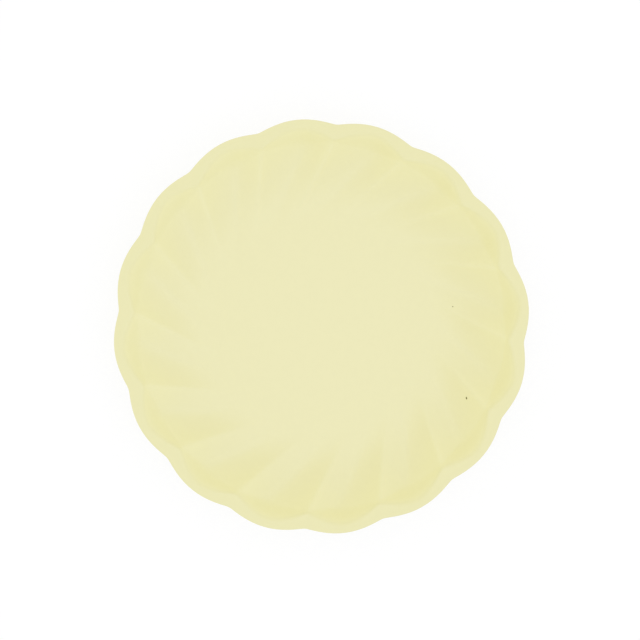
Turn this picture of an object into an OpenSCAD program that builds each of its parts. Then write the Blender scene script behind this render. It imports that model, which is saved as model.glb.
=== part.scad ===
// A stack of shallow plates pressed from paper pulp, each nested in the one below.
// A plate is one sheet of even thickness: a flat well, a wall of swirled flutes and a
// narrow flat lip with a scalloped outline. Channels of the wall run out into the lobes
// of the lip, and ridges run out into the notches between them.
// Millimetres, +Z up. The origin is the middle of the bottom plate's foot, and two
// opposite lobes lie on the X axis.

/* [Plate] */
// Diameter across two opposite lobes
plate_d = 210; // [190:1:250]
// Height of one plate, from its foot to the top of its lip
plate_h = 20; // [15:0.5:26]
// Diameter of the flat well
well_d = 108; // [90:1:120]
// Thickness of the pressed pulp
wall = 0.6; // [0.4:0.05:1.2]

/* [Rim] */
// Number of lobes round the rim
lobes = 16; // [8:4:24]
// How far a lobe stands out past the notches beside it
scallop = 2.7; // [1:0.1:5]
// Width of the flat lip in the middle of a lobe
lobe_lip_w = 2.8; // [2:0.1:6]
// Width of the flat lip where a notch meets a ridge
notch_lip_w = 6.8; // [3:0.1:9]

/* [Flutes] */
// Radius of the circle that the straight lines of the ridges just touch
swirl_r = 37.5; // [0:0.5:44]
// How far the level floor of a channel runs on past the well
channel_toe = 8; // [1:0.5:12]
// Height of the steep end of a channel, below the lip
channel_end_h = 9; // [5:0.5:12]
// Width of the steep end of a channel, measured along a radius
channel_end_w = 10; // [7:0.5:14]
// How far the foot of that end leans to one side between the ridges, in shares of a lobe
channel_lean = 0.08; // [0:0.01:0.12]
// Height of the steep end of a ridge, below the lip
ridge_end_h = 2; // [1:0.1:4]
// Width of the steep end of a ridge, measured along a radius
ridge_end_w = 3; // [2:0.1:6]

/* [Stack] */
// Clear space between the walls of two nested plates, where they are closest
nest_gap = 0.05; // [0.02:0.01:0.4]

/* [Hidden] */

pulp_colour = "#EDE9BC";

well_r = well_d / 2;
peak_r = plate_d / 2;
notch_r = peak_r - scallop;
lobe_angle = 360 / lobes;

// Both profiles of the wall, as radii at the four marks that stations are counted by:
// 0 is the edge of the well, 1 the foot of the steep end, 2 the inner edge of the lip
// and 3 its trimmed outer edge
channel_top_r = peak_r - lobe_lip_w;
channel_foot_r = channel_top_r - channel_end_w;
channel_radii = [[0, well_r], [1, channel_foot_r], [2, channel_top_r], [3, peak_r]];
ridge_top_r = notch_r - notch_lip_w;
ridge_foot_r = ridge_top_r - ridge_end_w;
ridge_radii = [[0, well_r], [1, ridge_foot_r], [2, ridge_top_r], [3, notch_r]];

// Share of each climb over which its slope grows from level to full
channel_ease = 1;
ridge_ease = 0.5;
// How sharp the corners of the flutes are in the wall: 0 is a plain wave, 1 a zigzag
zigzag_sharpness = 0.95;
// How round the notches of the outline are: 0 is a sharp fold, 1 a plain wave
notch_softness = 0.1;
// By station, how far the channels lean and how far the zigzag of the wall has turned
// into the lobes of the outline
leans = [[0.5, 0], [1, channel_lean], [2, 0]];
lobe_shares = [[0, 0], [1, 0.4], [3, 1]];

// Points round one lobe, as shares of the way from a notch to the next
fine_samples = [0, 0.07, 0.2, 0.35, 0.5, 0.65, 0.8, 0.93];
middle_samples = every_second(fine_samples);
coarse_samples = every_second(middle_samples);

// The station at a share of the climb of a channel, which starts at the end of its toe
function climb_station(share) =
    mix(channel_toe / (channel_foot_r - well_r), 1, share);

// Each ring of points that the skins are stretched over: its station and its samples.
// None but the first lies in the level floor, so no two faces are almost level.
rings = [
    [0, coarse_samples],
    [climb_station(0.12), coarse_samples],
    [climb_station(0.42), coarse_samples],
    [climb_station(0.72), middle_samples],
    [1, middle_samples],
    [1.4, middle_samples],
    [1.75, middle_samples],
    [2, fine_samples],
    [3, fine_samples]
];
last_ring = len(rings) - 1;

function every_second(list) = [for (i = [0 : 2 : len(list) - 1]) list[i]];

function mix(a, b, share) = a + (b - a) * share;

function unit(v) = v / norm(v);

// The height of a profile at a radius. It leaves the level of the well at start_r, with a
// slope that grows over a share of the way and then stays. At foot_r it goes on into a
// steep end, end_h high and end_w wide, that meets the lip level.
function profile_z(r, start_r, foot_r, end_h, end_w, ease) =
    let (
        slope = (plate_h - end_h - wall) / (foot_r - start_r) / (1 - ease / 2),
        eased_w = ease * (foot_r - start_r),
        t = (r - foot_r) / end_w
    )
    r <= start_r ? wall
    : r < start_r + eased_w ? wall + slope * pow(r - start_r, 2) / (2 * eased_w)
    : r < foot_r ? wall + slope * (r - start_r - eased_w / 2)
    : t < 1 ? plate_h - end_h * (1 - t * t * (3 - 2 * t)) + slope * end_w * t * pow(1 - t, 2)
    : plate_h;

function channel_r(station) = lookup(station, channel_radii);

function channel_z(station) =
    profile_z(
        channel_r(station), well_r + channel_toe, channel_foot_r,
        channel_end_h, channel_end_w, channel_ease
    );

function ridge_r(station) = lookup(station, ridge_radii);

function ridge_z(station) =
    profile_z(ridge_r(station), well_r, ridge_foot_r, ridge_end_h, ridge_end_w, ridge_ease);

// Waves over places counted in lobes, from 0 on a ridge to 1 in the middle of a channel
function zigzag(place) =
    0.5 - asin(zigzag_sharpness * cos(360 * place)) / asin(zigzag_sharpness) / 2;

function round_lobe(place) =
    (norm([sin(180 * place), notch_softness]) - notch_softness)
    / (norm([1, notch_softness]) - notch_softness);

function channel_share(station, place) =
    let (leaning_place = place + lookup(station, leans) * pow(sin(180 * place), 2))
    mix(zigzag(leaning_place), round_lobe(place), lookup(station, lobe_shares));

// How far a ridge has turned at a radius: it is a straight line that passes the middle
// at the distance swirl_r
function swirl(r) = acos(swirl_r / ridge_top_r) - acos(swirl_r / min(r, ridge_top_r));

// A point of the upper skin
function skin(station, place) =
    let (
        share = channel_share(station, place),
        r = mix(ridge_r(station), channel_r(station), share),
        z = mix(ridge_z(station), channel_z(station), share),
        angle = (place - 0.5) * lobe_angle + swirl(ridge_r(station))
    )
    [r * cos(angle), r * sin(angle), z];

// The way out of the upper skin at a ring, halfway between the faces that meet there.
// The well and the trimmed edge are level.
side_step = 0.1;

function outward(ring, place) =
    ring == 0 || ring == last_ring ? [0, 0, 1]
    : let (
        station = rings[ring][0],
        here = skin(station, place),
        next_ring = skin(rings[ring + 1][0], place),
        ring_before = skin(rings[ring - 1][0], place),
        up = unit(next_ring - here) + unit(here - ring_before),
        along = skin(station, place + side_step) - skin(station, place - side_step)
    )
    unit(cross(up, along));

// The points of one ring, lowered into the sheet by a depth
function ring_points(ring, depth) = [
    for (lobe = [0 : lobes - 1], sample = rings[ring][1])
        skin(rings[ring][0], lobe + sample) - depth * outward(ring, lobe + sample)
];

function ring_size(ring) = lobes * len(rings[ring][1]);

function ring_start(ring) = ring == 0 ? 0 : ring_start(ring - 1) + ring_size(ring - 1);

skin_size = ring_start(last_ring) + ring_size(last_ring);
sheet_points = [
    for (depth = [0, wall], ring = [0 : last_ring]) each ring_points(ring, depth)
];

// Triangles between a ring and the next, which has as many points or twice as many
function band_faces(ring) =
    let (
        n = ring_size(ring),
        step = ring_size(ring + 1) / n,
        start = ring_start(ring),
        next_start = ring_start(ring + 1)
    )
    [
        for (i = [0 : n - 1])
            let (
                here = start + i,
                beside = start + (i + 1) % n,
                out = next_start + step * i,
                out_beside = next_start + (step * i + 1) % (step * n),
                out_after = next_start + (step * i + 2) % (step * n)
            )
            each concat(
                [[here, out_beside, out], [here, beside, out_beside]],
                step == 2 ? [[beside, out_after, out_beside]] : []
            )
    ];

wall_faces = [for (ring = [0 : last_ring - 1]) each band_faces(ring)];
well_face = [for (i = [ring_size(0) - 1 : -1 : 0]) i];
upper_faces = concat([well_face], wall_faces);
lower_faces = [for (face = upper_faces) [for (i = [len(face) - 1 : -1 : 0]) skin_size + face[i]]];
edge_faces =
    let (start = ring_start(last_ring), n = ring_size(last_ring))
    [
        for (i = [0 : n - 1])
            let (a = start + i, b = start + (i + 1) % n)
            each [[a, b, skin_size + a], [b, skin_size + b, skin_size + a]]
    ];
sheet_faces = concat(upper_faces, lower_faces, edge_faces);

// Nested plates come closest where the sheet is steepest, so the face that looks up the
// least sets how far apart the plates lie
function upward_share(face) =
    let (p = [for (i = face) sheet_points[i]])
    abs(unit(cross(p[1] - p[0], p[2] - p[0]))[2]);

stack_pitch = (wall + nest_gap) / min([for (face = wall_faces) upward_share(face)]);

// One plate, at its level in the stack: 0 is the bottom one. The disc lies well within the
// many-sided edge of the well and makes its two level faces true planes.
module plate(level) {
    translate([0, 0, level * stack_pitch])
        union() {
            polyhedron(points = sheet_points, faces = sheet_faces, convexity = 6);
            cylinder(r = well_r * cos(lobe_angle / 2), h = wall, $fn = 96);
        }
}

module plate_1() { color(pulp_colour) plate(0); }
module plate_2() { color(pulp_colour) plate(1); }
module plate_3() { color(pulp_colour) plate(2); }
module plate_4() { color(pulp_colour) plate(3); }
module plate_5() { color(pulp_colour) plate(4); }
module plate_6() { color(pulp_colour) plate(5); }

plate_1();
plate_2();
plate_3();
plate_4();
plate_5();
plate_6();
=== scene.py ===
"""A nested stack of plates pressed from paper pulp, and the plain studio it stands in.

Each plate is one thin sheet: a level well, a wall of swirled flutes and a narrow level lip
with a scalloped outline. The sheet is laid over rings of points, thickened, and its
trimmed edge is eased. Lengths are in metres and angles in radians, unless a comment says
otherwise.
"""

import math
import random

import bmesh
import bpy
import numpy as np
from bpy.props import (
    FloatProperty,
    FloatVectorProperty,
    IntProperty,
    PointerProperty,
)
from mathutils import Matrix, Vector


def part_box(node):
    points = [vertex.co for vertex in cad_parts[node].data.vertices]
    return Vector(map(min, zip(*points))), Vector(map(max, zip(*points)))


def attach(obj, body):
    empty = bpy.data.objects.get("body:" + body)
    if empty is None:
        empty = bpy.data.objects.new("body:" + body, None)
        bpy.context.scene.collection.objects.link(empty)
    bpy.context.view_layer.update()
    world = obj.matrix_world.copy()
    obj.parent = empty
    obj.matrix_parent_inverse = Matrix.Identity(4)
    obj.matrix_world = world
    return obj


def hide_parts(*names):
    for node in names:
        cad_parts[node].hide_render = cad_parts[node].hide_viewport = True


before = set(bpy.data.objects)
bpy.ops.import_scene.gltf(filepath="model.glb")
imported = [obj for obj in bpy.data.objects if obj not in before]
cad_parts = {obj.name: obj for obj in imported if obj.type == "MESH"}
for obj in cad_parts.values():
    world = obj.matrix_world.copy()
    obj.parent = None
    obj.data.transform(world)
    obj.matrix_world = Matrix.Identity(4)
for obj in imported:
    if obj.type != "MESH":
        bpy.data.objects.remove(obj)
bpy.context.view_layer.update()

bl_info = {
    "name": "Paper Plate Stack",
    "version": (1, 0, 0),
    "blender": (4, 5, 0),
    "location": "View3D > Sidebar > Plates",
    "description": "Builds a nested stack of pressed paper plates in a plain studio",
    "category": "Object",
}

MM = 0.001

# The plates' nodes from the bottom of the stack to the top, and what the frame says of them
PLATES = sorted(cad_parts)
TOP_LEVEL = len(PLATES) - 1
BOTTOM_LOW, BOTTOM_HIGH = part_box(PLATES[0])
PLATE_R = (BOTTOM_HIGH[0] - BOTTOM_LOW[0]) / 2
PLATE_H = BOTTOM_HIGH[2] - BOTTOM_LOW[2]

# Shape of the wall, as in the solids: the share of a climb over which its slope grows, for
# channels and for ridges; how sharp the flutes' corners are, where 1 is a true zigzag; and
# how round a notch of the outline is, where 0 is a sharp one
CHANNEL_EASE = 1
RIDGE_EASE = 0.5
ZIGZAG = 0.95
NOTCH_SOFTNESS = 0.1
# Stations, with the share of their full lean that the channels have there
LEANS = ((0.5, 1, 2), (0, 1, 0))
# Stations, with how far the zigzag of the wall has turned there into the outline's lobes
LOBE_SHARES = ((0, 1, 3), (0, 0.4, 1))

# Rings of points up the climb of the wall, up its steep end and across the lip
CLIMB_RINGS = 22
END_RINGS = 16
LIP_RINGS = 5
# Points round a lobe, and how much closer they lie at the notches, where the outline turns
# sharply: 0 is evenly spread
LOBE_POINTS = 20
NOTCH_CROWDING = 0.08

# How far the pressed outline is out of round, the same on all plates, which share a mould:
# waves round the rim, height of the wave, place of its crest in degrees
OUT_OF_ROUND = ((2, 0.17 * MM, -27), (3, 0.32 * MM, -6), (4, 0.22 * MM, -11))

# How far in from the rim a plate sags, and how many slow waves the sag is made of
SAG_W = 10 * MM
SAG_WAVES = (2, 3, 5)

# Where the photograph shows the top plate, in its 640 by 640 frame
PHOTO_SIZE = 640
PHOTO_CENTRE = (320.8, 326.5)
PHOTO_LOBE_R = 207.9
# The photograph is turned by this much against the frame, whose X axis runs through a lobe
PHOTO_TURN = math.radians(6.8)

# The two specks of bark in the top plate: how far from its middle, in which direction of the
# photograph in degrees, and half their width and height there. A speck fades out between two
# shares of those halves.
TOP_FLECKS = ((82.6 * MM, -26.2, 0.34 * MM, 0.72 * MM), (68.5 * MM, 8.5, 0.34 * MM, 0.21 * MM))
FLECK_FADE = (0.7, 1.1)

# Heights between which the well's colour gives way to the wall's painted shade, and that to the lip's
WALL_PAINTED_SHADE_Z = (0.3 * PLATE_H, 0.8 * PLATE_H)
LIP_PAINTED_SHADE_Z = (PLATE_H - 1.5 * MM, PLATE_H - 0.4 * MM)

# Patterns in the pulp. Its clouds are about 3 mm wide. Its fibres are 0.03 mm wide and 1 to
# 2 mm long: drawn 0.3 mm wide in the face and 0.2 mm wide where they are cut, so that they
# show. The forming screen has a wire every 0.5 mm: drawn at 1 mm, so that it shows.
CLOUD_W = 3 * MM
FIBRE_W = 0.3 * MM
CUT_FIBRE_W = 0.2 * MM
SCREEN_PITCH = 1 * MM
# How far apart in the noise the clouds of two plates may lie
CLOUD_SEEDS = 40

# Cellulose, which paper is made of
PULP_IOR = 1.5

# Half the floor's width, and how far it lies under the foot: a hair, so that the two never
# fight over one plane
FLOOR_HALF_W = 3
FLOOR_DROP = 0.05 * MM
# How much of the floor shows the plain backdrop to the rays that find the background, and
# how strongly: enough that no grey of the board is left beside the shadow
FLOOR_VEIL = 0.85
FLOOR_GLOW = 1.03


def linear(hex_colour):
    """Turns an sRGB hex colour into linear red, green and blue."""
    channels = [int(hex_colour[i : i + 2], 16) / 255 for i in (1, 3, 5)]
    return [c / 12.92 if c <= 0.04045 else ((c + 0.055) / 1.055) ** 2.4 for c in channels]


class PlateSizes(bpy.types.PropertyGroup):
    """Sizes of one plate, as in the solids it stands for"""

    lobes: IntProperty(name="Lobes", description="Lobes round the rim", default=16, min=3)
    well_d: FloatProperty(
        name="Well", description="Diameter of the level well", default=108 * MM, unit="LENGTH"
    )
    sheet: FloatProperty(
        name="Sheet", description="Thickness of the pressed pulp", default=0.6 * MM, unit="LENGTH"
    )
    scallop: FloatProperty(
        name="Scallop",
        description="How far a lobe stands out past the notches beside it",
        default=2.7 * MM,
        unit="LENGTH",
    )
    lobe_lip_w: FloatProperty(
        name="Lip at a lobe",
        description="Width of the level lip in the middle of a lobe",
        default=2.8 * MM,
        unit="LENGTH",
    )
    notch_lip_w: FloatProperty(
        name="Lip at a notch",
        description="Width of the level lip where a notch meets a ridge",
        default=6.8 * MM,
        unit="LENGTH",
    )
    swirl_r: FloatProperty(
        name="Swirl",
        description="Radius of the circle that the straight lines of the ridges just touch",
        default=37.5 * MM,
        unit="LENGTH",
    )
    channel_toe: FloatProperty(
        name="Channel toe",
        description="How far the level floor of a channel runs on past the well",
        default=8 * MM,
        unit="LENGTH",
    )
    channel_end_h: FloatProperty(
        name="Channel end height",
        description="Height of the steep end of a channel",
        default=9 * MM,
        unit="LENGTH",
    )
    channel_end_w: FloatProperty(
        name="Channel end width",
        description="Width of the steep end of a channel, along a radius",
        default=10 * MM,
        unit="LENGTH",
    )
    channel_lean: FloatProperty(
        name="Channel lean",
        description="How far the foot of that end leans to one side, in shares of a lobe",
        default=0.08,
        subtype="FACTOR",
    )
    ridge_end_h: FloatProperty(
        name="Ridge end height",
        description="Height of the steep end of a ridge",
        default=2 * MM,
        unit="LENGTH",
    )
    ridge_end_w: FloatProperty(
        name="Ridge end width",
        description="Width of the steep end of a ridge, along a radius",
        default=3 * MM,
        unit="LENGTH",
    )
    edge_round: FloatProperty(
        name="Edge round",
        description="Rounding of the trimmed edge",
        default=0.12 * MM,
        unit="LENGTH",
    )
    rim_sag: FloatProperty(
        name="Rim sag",
        description="Most that the rims of all the plates sag together",
        default=0.22 * MM,
        unit="LENGTH",
    )
    lip_play: FloatProperty(
        name="Lip play",
        description="Most that the lip of a plate under the top one hangs lower than that sag",
        default=0.15 * MM,
        unit="LENGTH",
    )
    trim_play: FloatProperty(
        name="Trim play",
        description="Most that a plate under the top one is trimmed shorter than it",
        default=0.12 * MM,
        unit="LENGTH",
    )


class PulpLook(bpy.types.PropertyGroup):
    """Colours of the dyed pulp, with painted shade in the colours of its wall and lip"""

    face: FloatVectorProperty(
        name="Well",
        description="The pulp where the sheet lies level in the well",
        subtype="COLOR",
        default=linear("#EEEABC"),
    )
    # Painted shade: the wall's colour is a touch yellower than the well's, standing in for the shade
    # on the sloped wall
    wall: FloatVectorProperty(
        name="Drawn wall",
        description="The pulp where the press draws it up, a touch yellower",
        subtype="COLOR",
        default=linear("#EFEBBA"),
    )
    # Painted shade: the lip's colour is a shade deeper than the well's, standing in for the shade on
    # the lip
    lip: FloatVectorProperty(
        name="Pressed lip",
        description="The pulp of the lip, which the press squeezes hardest, a shade deeper",
        subtype="COLOR",
        default=linear("#ECE8B7"),
    )
    edge: FloatVectorProperty(
        name="Trimmed edge",
        description="The cut fibre ends of the rim",
        subtype="COLOR",
        default=linear("#EEEBC4"),
    )
    fleck: FloatVectorProperty(
        name="Fleck",
        description="A speck of bark that stayed in the pulp",
        subtype="COLOR",
        default=linear("#6C682E"),
    )


class StudioLook(bpy.types.PropertyGroup):
    """Light, floor and camera"""

    window_share: FloatProperty(
        name="Window share",
        description="Share of the light on a level surface that comes from the window",
        default=0.08,
        min=0,
        max=1,
        subtype="FACTOR",
    )
    window_azimuth: FloatProperty(
        name="Window azimuth",
        description="Where the window is, counted from the right of the photograph",
        default=math.radians(315),
        subtype="ANGLE",
    )
    window_height: FloatProperty(
        name="Window height",
        description="The window's angle above the horizon",
        default=math.radians(50),
        subtype="ANGLE",
    )
    window_spread: FloatProperty(
        name="Window spread",
        description="How wide the window looks from the plates",
        default=math.radians(40),
        subtype="ANGLE",
    )
    skylight_share: FloatProperty(
        name="Skylight share",
        description="Share of the light on a level surface that comes from right above",
        default=0.14,
        min=0,
        max=1,
        subtype="FACTOR",
    )
    skylight_spread: FloatProperty(
        name="Skylight spread",
        description="How wide the skylight looks from the plates",
        default=math.radians(60),
        subtype="ANGLE",
    )
    day_colour: FloatVectorProperty(
        name="Daylight colour",
        description="Cool light of the window and the skylight; the room is as much warmer",
        subtype="COLOR",
        default=linear("#7991FF"),
    )
    board: FloatVectorProperty(
        name="Board",
        description="The matt board of the floor, as the plates are lit by it",
        subtype="COLOR",
        default=linear("#F3F3F3"),
    )
    backdrop: FloatVectorProperty(
        name="Backdrop",
        description="The plain background, as the camera sees it",
        subtype="COLOR",
        default=linear("#FFFFFF"),
    )
    lens_mm: FloatProperty(
        name="Lens", description="Focal length in millimetres", default=85, unit="CAMERA"
    )


def smooth_step(t):
    return t * t * (3 - 2 * t)


def profile_z(r, start_r, foot_r, end_h, end_w, ease, sizes):
    """The height of a profile at radii r. It leaves the well at start_r with a slope that
    grows over the share ease of the way, then stays, and at foot_r goes on into a steep
    end that meets the lip level."""
    run = foot_r - start_r
    slope = (PLATE_H - end_h - sizes.sheet) / run / (1 - ease / 2)
    eased_w = ease * run
    t = (r - foot_r) / end_w
    return np.select(
        [r <= start_r, r < start_r + eased_w, r < foot_r, t < 1],
        [
            sizes.sheet,
            sizes.sheet + slope * (r - start_r) ** 2 / (2 * eased_w),
            sizes.sheet + slope * (r - start_r - eased_w / 2),
            PLATE_H - end_h * (1 - smooth_step(t)) + slope * end_w * t * (1 - t) ** 2,
        ],
        PLATE_H,
    )


def channel_share(stations, places, lean):
    """0 on a ridge and 1 in the middle of a channel. The flutes zigzag with eased corners
    in the wall, where the channels lean over by lean at the foot of their steep end, and
    swing from notch to notch as round lobes at the trimmed edge."""
    leaning = places + lean * np.interp(stations, *LEANS) * np.sin(np.pi * places) ** 2
    zigzag = 0.5 - np.arcsin(ZIGZAG * np.cos(2 * np.pi * leaning)) / np.arcsin(ZIGZAG) / 2
    round_lobe = (np.hypot(np.sin(np.pi * places), NOTCH_SOFTNESS) - NOTCH_SOFTNESS) / (
        np.hypot(1, NOTCH_SOFTNESS) - NOTCH_SOFTNESS
    )
    return zigzag + (round_lobe - zigzag) * np.interp(stations, *LOBE_SHARES)


def sheet_rings(sizes, stations, places):
    """The upper skin of a plate as rings of points: radii, angles and heights.

    Stations run from 0 at the edge of the well past 1 at the foot of the steep end and 2
    at the inner edge of the lip to 3 at its trimmed edge. Places are counted in lobes."""
    marks = (0, 1, 2, 3)
    well_r = sizes.well_d / 2
    channel_top_r = PLATE_R - sizes.lobe_lip_w
    channel_foot_r = channel_top_r - sizes.channel_end_w
    notch_r = PLATE_R - sizes.scallop
    ridge_top_r = notch_r - sizes.notch_lip_w
    ridge_foot_r = ridge_top_r - sizes.ridge_end_w
    channel_r = np.interp(stations, marks, (well_r, channel_foot_r, channel_top_r, PLATE_R))
    ridge_r = np.interp(stations, marks, (well_r, ridge_foot_r, ridge_top_r, notch_r))
    channel_z = profile_z(
        channel_r,
        well_r + sizes.channel_toe,
        channel_foot_r,
        sizes.channel_end_h,
        sizes.channel_end_w,
        CHANNEL_EASE,
        sizes,
    )
    ridge_z = profile_z(
        ridge_r, well_r, ridge_foot_r, sizes.ridge_end_h, sizes.ridge_end_w, RIDGE_EASE, sizes
    )

    share = channel_share(stations, places, sizes.channel_lean)
    r = ridge_r + (channel_r - ridge_r) * share
    z = ridge_z + (channel_z - ridge_z) * share
    # A ridge is a straight line that passes the middle at the distance swirl_r
    swirl = np.arccos(sizes.swirl_r / ridge_top_r) - np.arccos(
        sizes.swirl_r / np.minimum(ridge_r, ridge_top_r)
    )
    angle = (places - 0.5) * 2 * np.pi / sizes.lobes + swirl
    return r, angle, z


def out_of_round(angle):
    """How far the rim stands out past its mean round."""
    return sum(
        height * np.cos(waves * (angle - math.radians(crest))) for waves, height, crest in OUT_OF_ROUND
    )


def rim_allowance():
    """How far the mean round stays inside the solid's, so that the rim keeps in its box,
    which it touches at four lobes a quarter turn apart."""
    return max(out_of_round(quarter * math.pi / 2) for quarter in range(4))


def slow_waves(angle, seed):
    """A share from 0 to 1 that rises and falls slowly round the rim."""
    dice = random.Random(seed)
    crests = {waves: dice.uniform(0, 2 * np.pi) for waves in SAG_WAVES}
    heights = [0.5 - 0.5 * np.cos(waves * (angle - crest)) for waves, crest in crests.items()]
    return sum(heights) / len(heights)


def warp(stations, r, angle, z, level, sizes):
    """Bends one plate of the stack. They are all out of round as the mould is, and sag
    alike near the rim, because they lie in each other. Under the top plate, each level lip
    is trimmed a little shorter and hangs a little lower in its own way."""
    r = r + (out_of_round(angle) - rim_allowance()) * (r / PLATE_R) ** 2
    rim_share = np.clip((r - PLATE_R) / SAG_W + 1, 0, 1) ** 2
    z = z - sizes.rim_sag * slow_waves(angle, TOP_LEVEL) * rim_share
    if level < TOP_LEVEL:
        lip_share = np.clip(stations - 2, 0, 1)
        z = z - sizes.lip_play * slow_waves(angle, level) * lip_share
        r = r - sizes.trim_play * random.Random(level).random() * lip_share
    return r, angle, z


def plate_mesh(name, level, sizes):
    """The upper skin of one plate, as a mesh at the plate's own foot."""
    # One row for each ring, and one column for each point round it
    stations = np.concatenate(
        [
            np.linspace(0, 1, CLIMB_RINGS, endpoint=False),
            np.linspace(1, 2, END_RINGS, endpoint=False),
            np.linspace(2, 3, LIP_RINGS),
        ]
    )[:, None]
    even = np.arange(sizes.lobes * LOBE_POINTS) / LOBE_POINTS
    places = even - NOTCH_CROWDING * np.sin(2 * np.pi * even)
    r, angle, z = warp(stations, *sheet_rings(sizes, stations, places), level, sizes)
    points = np.stack([r * np.cos(angle), r * np.sin(angle), z], axis=-1)

    work = bmesh.new()
    rings = [[work.verts.new(point) for point in ring] for ring in points]
    work.faces.new(rings[0])
    for inner, outer in zip(rings, rings[1:]):
        for i in range(len(inner)):
            j = (i + 1) % len(inner)
            work.faces.new((inner[i], outer[i], outer[j], inner[j]))
    for face in work.faces:
        face.smooth = True
    mesh = bpy.data.meshes.new(name)
    work.to_mesh(mesh)
    work.free()
    return mesh


def add_node(tree, kind, inputs=None, **settings):
    """Adds a node, with its settings and with its inputs set or linked by socket."""
    made = tree.nodes.new(kind)
    for name, value in settings.items():
        setattr(made, name, value)
    for socket, value in (inputs or {}).items():
        if isinstance(value, bpy.types.NodeSocket):
            tree.links.new(value, made.inputs[socket])
        else:
            made.inputs[socket].default_value = value
    return made


def rgba(colour):
    return (*colour, 1)


def new_material(name):
    """An empty material and its node tree."""
    material = bpy.data.materials.new(name)
    material.use_nodes = True
    material.node_tree.nodes.clear()
    return material, material.node_tree


def background_rays(tree):
    """1 for the rays that find the plain backdrop: the camera's, and those that a glossy or
    clear surface sends on. 0 for the rays that carry the light."""
    path = add_node(tree, "ShaderNodeLightPath")
    seen = path.outputs["Is Camera Ray"]
    for ray in ("Is Glossy Ray", "Is Transmission Ray"):
        seen = add_node(
            tree, "ShaderNodeMath", {0: seen, 1: path.outputs[ray]}, operation="MAXIMUM"
        ).outputs[0]
    return seen


def fibre_clouds(tree):
    """Places on the plate, a seed that differs from plate to plate, and the clouds that the
    fibres settled in."""
    place = add_node(tree, "ShaderNodeTexCoord").outputs["Object"]
    which = add_node(tree, "ShaderNodeObjectInfo").outputs["Random"]
    seed = add_node(
        tree, "ShaderNodeMath", {0: which, 1: CLOUD_SEEDS}, operation="MULTIPLY"
    ).outputs[0]
    clouds = add_node(
        tree,
        "ShaderNodeTexNoise",
        {"Vector": place, "W": seed, "Scale": 1 / CLOUD_W, "Detail": 4, "Roughness": 0.65},
        noise_dimensions="4D",
    ).outputs["Fac"]
    return place, seed, clouds


def tinted(tree, colour, next_colour, z, heights):
    """A colour that gives way to the next one between two heights."""
    low, high = heights
    climb = add_node(
        tree,
        "ShaderNodeMapRange",
        {"Value": z, "From Min": low, "From Max": high},
        interpolation_type="SMOOTHSTEP",
    ).outputs[0]
    return add_node(
        tree,
        "ShaderNodeMix",
        {"Factor": climb, "A": colour, "B": rgba(next_colour)},
        data_type="RGBA",
    ).outputs["Result"]


def mottled(tree, colour, pattern, darkest, palest):
    """A colour made darker and paler by a pattern."""
    level = add_node(
        tree, "ShaderNodeMapRange", {"Value": pattern, "To Min": darkest, "To Max": palest}
    ).outputs[0]
    return add_node(
        tree,
        "ShaderNodeMix",
        {"Factor": 1.0, "A": colour, "B": level},
        data_type="RGBA",
        blend_type="MULTIPLY",
    ).outputs["Result"]


def flecked(tree, colour, fleck_colour, place, fleck):
    """A colour with one speck of bark in it."""
    reach, azimuth, half_x, half_y = fleck
    azimuth = math.radians(azimuth) - PHOTO_TURN
    middle = (reach * math.cos(azimuth), reach * math.sin(azimuth), 0)
    offset = add_node(
        tree, "ShaderNodeVectorMath", {0: place, 1: middle}, operation="SUBTRACT"
    ).outputs[0]
    scaled = add_node(
        tree,
        "ShaderNodeVectorMath",
        {0: offset, 1: (1 / half_x, 1 / half_y, 0)},
        operation="MULTIPLY",
    ).outputs[0]
    distance = add_node(
        tree, "ShaderNodeVectorMath", {0: scaled}, operation="LENGTH"
    ).outputs["Value"]
    full, gone = FLECK_FADE
    inside = add_node(
        tree,
        "ShaderNodeMapRange",
        {"Value": distance, "From Min": full, "From Max": gone, "To Min": 1, "To Max": 0},
    ).outputs[0]
    return add_node(
        tree,
        "ShaderNodeMix",
        {"Factor": inside, "A": colour, "B": rgba(fleck_colour)},
        data_type="RGBA",
    ).outputs["Result"]


def matt_pulp(tree, colour, pattern, relief, depth, roughness, gloss):
    """Ends a material as matt pulp, with a pattern pressed into it as a relief."""
    normal = add_node(
        tree, "ShaderNodeBump", {"Strength": relief, "Distance": depth, "Height": pattern}
    ).outputs["Normal"]
    shader = add_node(
        tree,
        "ShaderNodeBsdfPrincipled",
        {
            "Base Color": colour,
            "Roughness": roughness,
            "IOR": PULP_IOR,
            "Specular IOR Level": gloss,
            "Normal": normal,
        },
    )
    add_node(tree, "ShaderNodeOutputMaterial", {"Surface": shader.outputs[0]})


def pulp_face(name, look, flecks=()):
    """Paper pulp, hot pressed against a polished tool: level, matt and faintly cloudy, with
    fibres that only a grazing light finds. Painted shade makes the wall a touch yellower than
    the well, and the lip a shade deeper."""
    material, tree = new_material(name)
    place, seed, clouds = fibre_clouds(tree)
    z = add_node(tree, "ShaderNodeSeparateXYZ", {0: place}).outputs["Z"]
    # Painted shade: up the wall the colour turns yellower, and across the lip a shade deeper
    colour = tinted(tree, rgba(look.face), look.wall, z, WALL_PAINTED_SHADE_Z)
    colour = tinted(tree, colour, look.lip, z, LIP_PAINTED_SHADE_Z)
    colour = mottled(tree, colour, clouds, darkest=0.985, palest=1.015)
    for fleck in flecks:
        colour = flecked(tree, colour, look.fleck, place, fleck)
    # A cell of the noise holds a fibre and the dip beside it
    fibres = add_node(
        tree,
        "ShaderNodeTexNoise",
        {"Vector": place, "W": seed, "Scale": 1 / (2 * FIBRE_W), "Detail": 3, "Distortion": 1.5},
        noise_dimensions="4D",
    ).outputs["Fac"]
    matt_pulp(tree, colour, fibres, relief=0.25, depth=0.05 * MM, roughness=0.7, gloss=0.3)
    return material


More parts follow.
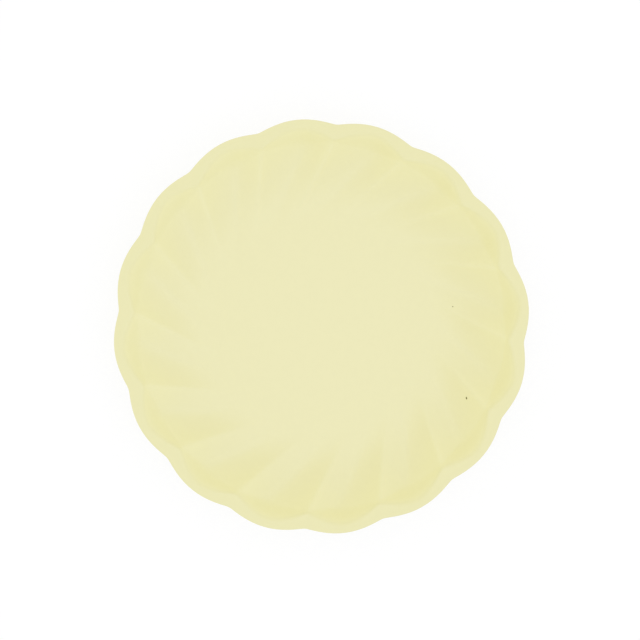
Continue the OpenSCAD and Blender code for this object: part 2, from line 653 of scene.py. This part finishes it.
def pulp_back(look):
    """The same pulp on the side that lay on the forming screen: duller, with the print of
    the wire cloth in it."""
    material, tree = new_material("pulp_screen_side")
    place, _, clouds = fibre_clouds(tree)
    # At a scale of 1 a wave comes back after pi / 10
    wires = [
        add_node(
            tree,
            "ShaderNodeTexWave",
            {
                "Vector": place,
                "Scale": math.pi / 10 / SCREEN_PITCH,
                "Distortion": 0.4,
                "Detail Scale": 3,
            },
            bands_direction=direction,
        ).outputs["Fac"]
        for direction in ("X", "Y")
    ]
    cloth = add_node(
        tree, "ShaderNodeMath", {0: wires[0], 1: wires[1]}, operation="MULTIPLY"
    ).outputs[0]
    colour = mottled(tree, rgba(look.face), clouds, darkest=0.97, palest=1.02)
    matt_pulp(tree, colour, cloth, relief=0.3, depth=0.08 * MM, roughness=0.85, gloss=0.25)
    return material


def pulp_edge(look):
    """The rim as the trimming die left it: bare fibre ends, paler and rough."""
    material, tree = new_material("pulp_trimmed_edge")
    place = add_node(tree, "ShaderNodeTexCoord").outputs["Object"]
    ends = add_node(
        tree, "ShaderNodeTexNoise", {"Vector": place, "Scale": 1 / (2 * CUT_FIBRE_W), "Detail": 4}
    ).outputs["Fac"]
    colour = mottled(tree, rgba(look.edge), ends, darkest=0.93, palest=1.05)
    matt_pulp(tree, colour, ends, relief=0.6, depth=0.1 * MM, roughness=0.95, gloss=0.2)
    return material


def pulp_materials(look, top):
    """The face, screen side and edge of a plate, made once and then used again."""
    face_name = "pulp_top_face" if top else "pulp_pressed_face"
    if face_name not in bpy.data.materials:
        pulp_face(face_name, look, TOP_FLECKS if top else ())
    if "pulp_screen_side" not in bpy.data.materials:
        pulp_back(look)
        pulp_edge(look)
    return [bpy.data.materials[name] for name in (face_name, "pulp_screen_side", "pulp_trimmed_edge")]


class PAPER_STACK_OT_plate(bpy.types.Operator):
    """Make one plate of the stack in place of its solid"""

    bl_idname = "paper_stack.plate"
    bl_label = "Plate"

    level: IntProperty(name="Level", description="0 for the bottom plate", default=0, min=0)

    def execute(self, context):
        node = PLATES[self.level]
        sizes = context.scene.plate_sizes
        name = f"pressed_{node}"
        plate = bpy.data.objects.new(name, plate_mesh(name, self.level, sizes))
        context.collection.objects.link(plate)
        plate.location.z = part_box(node)[0][2]
        for material in pulp_materials(context.scene.pulp_look, top=self.level == TOP_LEVEL):
            plate.data.materials.append(material)
        thicken = plate.modifiers.new("Sheet", "SOLIDIFY")
        thicken.thickness = sizes.sheet
        thicken.offset = -1
        thicken.use_even_offset = True
        # The slots after the face's: the screen side, and then the trimmed edge
        thicken.material_offset = 1
        thicken.material_offset_rim = 2
        ease = plate.modifiers.new("Trimmed edge", "BEVEL")
        ease.width = sizes.edge_round
        ease.segments = 2
        ease.angle_limit = math.radians(60)
        ease.harden_normals = True
        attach(plate, "root")
        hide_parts(node)
        return {"FINISHED"}


def floor_material(look):
    """Board, coated matt white: it lights the plates evenly, and the camera sees it as plain
    as the backdrop, with the stack's shadow left in it."""
    material, tree = new_material("matt_coated_board")
    veil = add_node(
        tree, "ShaderNodeMath", {0: background_rays(tree), 1: FLOOR_VEIL}, operation="MULTIPLY"
    ).outputs[0]
    board = add_node(tree, "ShaderNodeBsdfDiffuse", {"Color": rgba(look.board)})
    plain = add_node(
        tree, "ShaderNodeEmission", {"Color": rgba(look.backdrop), "Strength": FLOOR_GLOW}
    )
    floor = add_node(
        tree, "ShaderNodeMixShader", {"Fac": veil, 1: board.outputs[0], 2: plain.outputs[0]}
    )
    add_node(tree, "ShaderNodeOutputMaterial", {"Surface": floor.outputs[0]})
    return material


def metres_per_pixel():
    """The photograph's scale at the height of the top rim."""
    return (PLATE_R - rim_allowance()) / PHOTO_LOBE_R


def in_frame(photo_x, photo_y):
    """The place in the frame that the photograph shows at a pixel, at the top rim's height."""
    scale = metres_per_pixel()
    x = (photo_x - PHOTO_CENTRE[0]) * scale
    y = (PHOTO_CENTRE[1] - photo_y) * scale
    cos, sin = math.cos(-PHOTO_TURN), math.sin(-PHOTO_TURN)
    return x * cos - y * sin, x * sin + y * cos


class PAPER_STACK_OT_stage(bpy.types.Operator):
    """Make the floor, the light and the camera"""

    bl_idname = "paper_stack.stage"
    bl_label = "Stage"

    def execute(self, context):
        look = context.scene.studio_look
        self.lay_floor(context, look)
        self.light_room(context, look)
        self.hang_sun(
            context, look, "window", look.window_share, look.window_height, look.window_spread
        )
        self.hang_sun(
            context, look, "skylight", look.skylight_share, math.pi / 2, look.skylight_spread
        )
        self.set_camera(context, look)
        return {"FINISHED"}

    def lay_floor(self, context, look):
        """Lays a square of board under the stack."""
        half, z = FLOOR_HALF_W, -FLOOR_DROP
        mesh = bpy.data.meshes.new("floor")
        corners = [(-half, -half, z), (half, -half, z), (half, half, z), (-half, half, z)]
        mesh.from_pydata(corners, [], [(0, 1, 2, 3)])
        mesh.materials.append(floor_material(look))
        floor = bpy.data.objects.new("floor", mesh)
        context.collection.objects.link(floor)

    def light_room(self, context, look):
        """Fills the room with even light, and leaves a plain backdrop behind it."""
        # A level white board gets as much light from room and daylight together as makes it
        # render white, so that a colour renders as it is written
        day_share = look.window_share + look.skylight_share
        room_level = [1 - day_share * c for c in look.day_colour]
        world = bpy.data.worlds.new("studio room")
        world.use_nodes = True
        tree = world.node_tree
        tree.nodes.clear()
        room = add_node(tree, "ShaderNodeBackground", {"Color": rgba(room_level)})
        plain = add_node(tree, "ShaderNodeBackground", {"Color": rgba(look.backdrop)})
        seen = add_node(
            tree,
            "ShaderNodeMixShader",
            {"Fac": background_rays(tree), 1: room.outputs[0], 2: plain.outputs[0]},
        )
        add_node(tree, "ShaderNodeOutputWorld", {"Surface": seen.outputs[0]})
        context.scene.world = world

    def hang_sun(self, context, look, name, share, height, spread):
        """Hangs a soft lamp that gives a share of the light on a level surface."""
        lamp = bpy.data.lights.new(name, "SUN")
        lamp.angle = spread
        lamp.color = look.day_colour
        lamp.energy = share * math.pi / math.sin(height)
        hung = bpy.data.objects.new(name, lamp)
        context.collection.objects.link(hung)
        quarter = math.pi / 2
        hung.rotation_euler = (quarter - height, 0, look.window_azimuth - PHOTO_TURN + quarter)

    def set_camera(self, context, look):
        """Hangs the camera over the stack, where it frames the top rim as the photograph does."""
        rim_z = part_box(PLATES[-1])[1][2]
        data = bpy.data.cameras.new("camera")
        data.lens = look.lens_mm
        data.clip_start = 0.01
        view_w = PHOTO_SIZE * metres_per_pixel()
        camera = bpy.data.objects.new("camera", data)
        context.collection.objects.link(camera)
        x, y = in_frame(PHOTO_SIZE / 2, PHOTO_SIZE / 2)
        camera.location = (x, y, rim_z + view_w * data.lens / data.sensor_width)
        camera.rotation_euler = (0, 0, -PHOTO_TURN)
        context.scene.camera = camera
        context.scene.view_settings.view_transform = "Standard"


class PAPER_STACK_PT_panel(bpy.types.Panel):
    """The stack's sizes, colours and steps, in the sidebar"""

    bl_idname = "PAPER_STACK_PT_panel"
    bl_label = "Paper Plate Stack"
    bl_space_type = "VIEW_3D"
    bl_region_type = "UI"
    bl_category = "Plates"

    def draw(self, context):
        layout = self.layout
        for group in (context.scene.plate_sizes, context.scene.pulp_look, context.scene.studio_look):
            box = layout.box()
            for prop in group.bl_rna.properties:
                if not prop.is_readonly and prop.identifier != "name":
                    box.prop(group, prop.identifier)
        layout.operator(PAPER_STACK_OT_plate.bl_idname)
        layout.operator(PAPER_STACK_OT_stage.bl_idname)


CLASSES = (
    PlateSizes,
    PulpLook,
    StudioLook,
    PAPER_STACK_OT_plate,
    PAPER_STACK_OT_stage,
    PAPER_STACK_PT_panel,
)


def register():
    for cls in CLASSES:
        bpy.utils.register_class(cls)
    bpy.types.Scene.plate_sizes = PointerProperty(type=PlateSizes)
    bpy.types.Scene.pulp_look = PointerProperty(type=PulpLook)
    bpy.types.Scene.studio_look = PointerProperty(type=StudioLook)


def unregister():
    del bpy.types.Scene.studio_look
    del bpy.types.Scene.pulp_look
    del bpy.types.Scene.plate_sizes
    for cls in reversed(CLASSES):
        bpy.utils.unregister_class(cls)


def main():
    register()
    for level in range(len(PLATES)):
        bpy.ops.paper_stack.plate(level=level)
    bpy.ops.paper_stack.stage()


if __name__ == "__main__":
    main()
